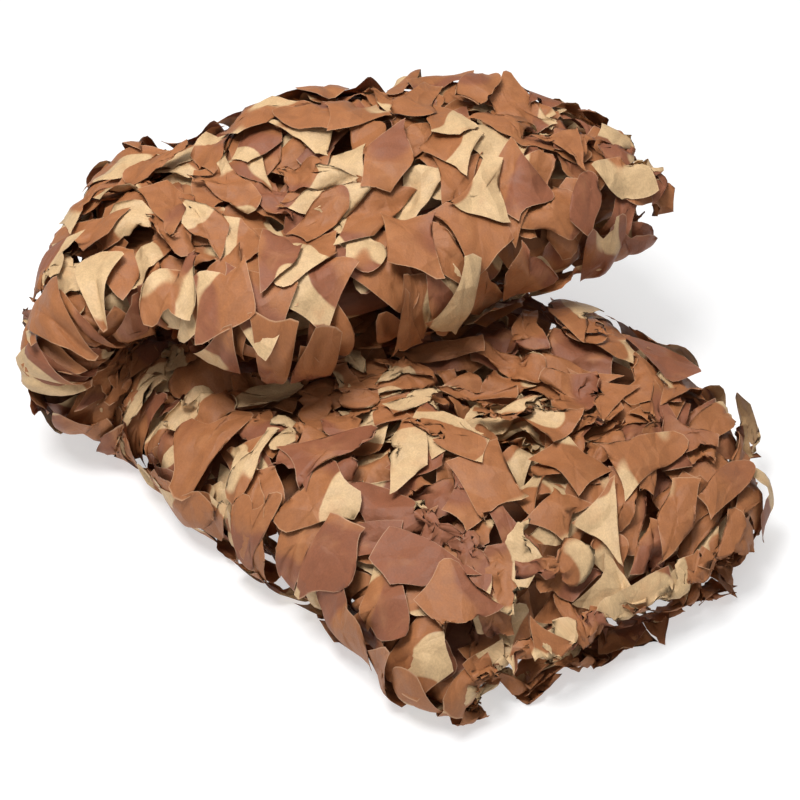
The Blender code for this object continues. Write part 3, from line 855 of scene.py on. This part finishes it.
def flat_area(chosen):
    """Area of the chosen leaves as they were cut, in square metres."""
    areas = FAN_STEPS.sum(axis=1) / 2
    return float((areas[SHAPE[chosen]] * np.abs(SIZE[chosen]).prod(axis=1)).sum())


def cloth_area(piece):
    """Sum of the face areas, in square metres."""
    areas = np.empty(len(piece.data.polygons), np.float32)
    piece.data.polygons.foreach_get("area", areas)
    return float(areas.sum())


for name, piece in PIECES.items():
    print(name, "faces", len(piece.data.polygons), "area %.2f m2" % cloth_area(piece))
for name, part in (("lower", LOWER_PART), ("fold", FOLD_PART), ("upper", UPPER_PART)):
    print(name, "leaves", int(part.sum()), "cut area %.2f m2" % flat_area(np.flatnonzero(part)))

# %% [markdown]
# ## The print and the cloth
# The cloth is printed in three desert colours: sand, mid brown and a darker red brown, in
# blotches as broad as a hand with soft round edges. Two broad noises read the flat cloth and are
# cut at a level, which gives such blotches. The cloth has a fine dull grain and small wrinkles,
# and a pale thin line is painted along its cuts as the highlight where the cut edges catch light.


# %% Node helpers
def add_node(tree, kind, **inputs):
    """A node with its named input sockets set or linked."""
    node = tree.nodes.new(kind)
    for key, value in inputs.items():
        socket = node.inputs[int(key[1:]) if key[0] == "_" else key.replace("_", " ")]
        if isinstance(value, bpy.types.NodeSocket):
            tree.links.new(value, socket)
        else:
            socket.default_value = value
    return node


def level(tree, value, low, top, most=1.0):
    """A smooth step from 0 at low to the most at top."""
    node = add_node(tree, "ShaderNodeMapRange", Value=value)
    node.interpolation_type = "SMOOTHSTEP"
    node.inputs["From Min"].default_value = low
    node.inputs["From Max"].default_value = top
    node.inputs["To Max"].default_value = most
    return node.outputs["Result"]


def mix_colour(tree, factor, first, second, kind="MIX"):
    """Two colours mixed by a factor."""
    node = tree.nodes.new("ShaderNodeMix")
    node.data_type = "RGBA"
    node.blend_type = kind
    for socket, value in ((node.inputs[0], factor), (node.inputs[6], first), (node.inputs[7], second)):
        if isinstance(value, bpy.types.NodeSocket):
            tree.links.new(value, socket)
        else:
            socket.default_value = value
    return node.outputs[2]


def noise(tree, vector, scale, detail, roughness=0.5, distortion=0.0):
    """A noise value over the vector."""
    node = add_node(tree, "ShaderNodeTexNoise", Vector=vector, Scale=scale, Detail=detail,
                    Roughness=roughness, Distortion=distortion)
    return node.outputs["Fac"]


def facets(tree, vector, scale):
    """Crumpled cloth: the distance to the nearest border of a field of cells, which is flat
    pieces that meet in sharp folds. The cells are bent by a slow noise."""
    bend = add_node(tree, "ShaderNodeTexNoise", Vector=vector, Scale=0.7 * scale, Detail=1.0)
    share = (0.6 / scale, 0.6 / scale, 0.0)
    bent = add_node(tree, "ShaderNodeVectorMath", _0=bend.outputs["Color"], _1=share)
    bent.operation = "MULTIPLY"
    moved = add_node(tree, "ShaderNodeVectorMath", _0=vector, _1=bent.outputs[0])
    cells = add_node(tree, "ShaderNodeTexVoronoi", Vector=moved.outputs[0], Scale=scale)
    cells.voronoi_dimensions = "2D"
    cells.feature = "DISTANCE_TO_EDGE"
    return cells.outputs["Distance"]


# %% The netting's cloth
SAND = (0.67, 0.455, 0.240, 1.0)
MID_BROWN = (0.375, 0.143, 0.052, 1.0)
RED_BROWN = (0.275, 0.096, 0.046, 1.0)


def cloth_material(name):
    """Printed matt cloth: three colours by two noises, grain, wrinkles and a painted highlight along
    the cut edges.
    """
    material = bpy.data.materials.new(name)
    material.use_nodes = True
    tree = material.node_tree
    shader = tree.nodes["Principled BSDF"]
    cloth = tree.nodes.new("ShaderNodeUVMap")
    cloth.uv_map = "flat_cloth"
    place = cloth.outputs["UV"]
    shift = add_node(tree, "ShaderNodeVectorMath", _0=place, _1=(3.7, 9.1, 0.0)).outputs[0]
    sand = level(tree, noise(tree, place, 9.0, 1.0, 0.45, 0.35), 0.570, 0.582)
    dark = level(tree, noise(tree, shift, 7.5, 1.2, 0.45, 0.5), 0.535, 0.575)
    colour = mix_colour(tree, dark, MID_BROWN, RED_BROWN)
    colour = mix_colour(tree, sand, colour, SAND)
    mottle = noise(tree, place, 95.0, 4.0, 0.6)
    worn = level(tree, mottle, 0.30, 0.72)
    colour = mix_colour(tree, worn, mix_colour(tree, 0.18, colour, (0.10, 0.045, 0.03, 1.0)), colour)
    weave = level(tree, noise(tree, place, 620.0, 2.0, 0.7), 0.35, 0.65)
    colour = mix_colour(tree, weave, mix_colour(tree, 0.15, colour, (0.07, 0.03, 0.015, 1.0)), colour)
    rub = level(tree, noise(tree, place, 32.0, 3.0, 0.6, 0.4), 0.50, 0.80, most=0.35)
    colour = mix_colour(tree, rub, colour, (0.54, 0.25, 0.105, 1.0))
    # A pale line painted along the cut edges: a painted highlight where the edges catch the light
    edge = tree.nodes.new("ShaderNodeAttribute")
    edge.attribute_name = "cut_edge_highlight"
    pale = level(tree, edge.outputs["Fac"], 0.30, 0.95, most=0.4)
    colour = mix_colour(tree, pale, colour, (0.70, 0.47, 0.29, 1.0))
    tree.links.new(colour, shader.inputs["Base Color"])
    rough = add_node(tree, "ShaderNodeMapRange", Value=mottle)
    rough.inputs["To Min"].default_value = 0.42
    rough.inputs["To Max"].default_value = 0.68
    tree.links.new(rough.outputs["Result"], shader.inputs["Roughness"])
    broad, narrow = facets(tree, place, 15.0), facets(tree, shift, 48.0)
    wrinkle = add_node(tree, "ShaderNodeBump", Height=broad, Strength=1.0, Distance=0.010)
    crinkle = add_node(tree, "ShaderNodeBump", Height=narrow, Strength=1.0, Distance=0.0016)
    fine = noise(tree, place, 520.0, 3.0, 0.7)
    grain = add_node(tree, "ShaderNodeBump", Height=fine, Strength=0.6, Distance=0.0006)
    tree.links.new(wrinkle.outputs["Normal"], crinkle.inputs["Normal"])
    tree.links.new(crinkle.outputs["Normal"], grain.inputs["Normal"])
    tree.links.new(grain.outputs["Normal"], shader.inputs["Normal"])
    shader.inputs["Specular IOR Level"].default_value = 0.28
    return material


CLOTH = cloth_material("leaf_cut_cloth")
for piece in PIECES.values():
    piece.data.materials.append(CLOTH)

# %% [markdown]
# ## Each piece rides on the body
# Every piece rides on the one body, and the imported netting node is hidden in their place.

# %% Ride, and hide the imported node
for name, piece in PIECES.items():
    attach(piece, "root")
    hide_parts("netting")

# %% [markdown]
# ## Floor, light and camera
# A plain pale floor runs out of view. Light comes from broad soft panels above and in front, as
# in a small product studio, and the camera looks down on the bundle at the angle of the photo.


# %% Floor
def studio_floor():
    """A large pale square just under the bundle, lit half from below, as a light table is."""
    mesh = bpy.data.meshes.new("floor")
    corners = [(-25, -25, 0), (25, -25, 0), (25, 25, 0), (-25, 25, 0)]
    mesh.from_pydata(corners, [], [(0, 1, 2, 3)])
    floor = bpy.data.objects.new("floor", mesh)
    bpy.context.scene.collection.objects.link(floor)
    material = bpy.data.materials.new("floor_paper")
    material.use_nodes = True
    shader = material.node_tree.nodes["Principled BSDF"]
    shader.inputs["Base Color"].default_value = (0.5, 0.5, 0.5, 1.0)
    shader.inputs["Roughness"].default_value = 0.9
    shader.inputs["Emission Color"].default_value = (1.0, 1.0, 1.0, 1.0)
    shader.inputs["Emission Strength"].default_value = 0.52
    mesh.materials.append(material)
    return floor


studio_floor()


# %% Lights
def aim(thing, target):
    """Turn a lamp or camera so that it looks at the target."""
    way = np.array(target) - np.array(thing.location)
    flat = math.hypot(way[0], way[1])
    thing.rotation_euler = (math.atan2(flat, -way[2]), 0.0, math.atan2(-way[0], way[1]))


def soft_panel(name, place, size, power):
    """A square area lamp aimed at the bundle."""
    lamp = bpy.data.lights.new(name, "AREA")
    lamp.size = size
    lamp.energy = power
    panel = bpy.data.objects.new(name, lamp)
    panel.location = place
    bpy.context.scene.collection.objects.link(panel)
    aim(panel, (0.0, 0.0, 0.1))
    return panel


soft_panel("top_panel", (-0.5, -0.35, 2.1), 0.7, 40.0)
soft_panel("wide_panel", (0.2, 0.3, 3.0), 2.2, 32.0)
soft_panel("front_panel", (-0.9, -1.7, 1.5), 1.0, 2.0)
world = bpy.context.scene.world or bpy.data.worlds.new("studio")
bpy.context.scene.world = world
world.use_nodes = True
world.node_tree.nodes["Background"].inputs["Color"].default_value = (1.0, 1.0, 1.0, 1.0)
world.node_tree.nodes["Background"].inputs["Strength"].default_value = 0.25
bpy.context.scene.view_settings.view_transform = "Standard"

# %% Camera
CAMERA_TILT_DEG, CAMERA_DISTANCE, CAMERA_LENS = 42.0, 1.65, 85.0
CAMERA_TARGET = np.array([0.0, -0.065, 0.095]) - PLAN_MIDDLE


def place_camera():
    """Stand back from the target along a line that looks down at the tilt angle."""
    tilt = math.radians(CAMERA_TILT_DEG)
    lens = bpy.data.cameras.new("camera")
    lens.lens = CAMERA_LENS
    camera = bpy.data.objects.new("camera", lens)
    back = CAMERA_DISTANCE * np.array([0.0, -math.cos(tilt), math.sin(tilt)])
    camera.location = CAMERA_TARGET + back
    bpy.context.scene.collection.objects.link(camera)
    aim(camera, CAMERA_TARGET)
    bpy.context.scene.camera = camera


place_camera()
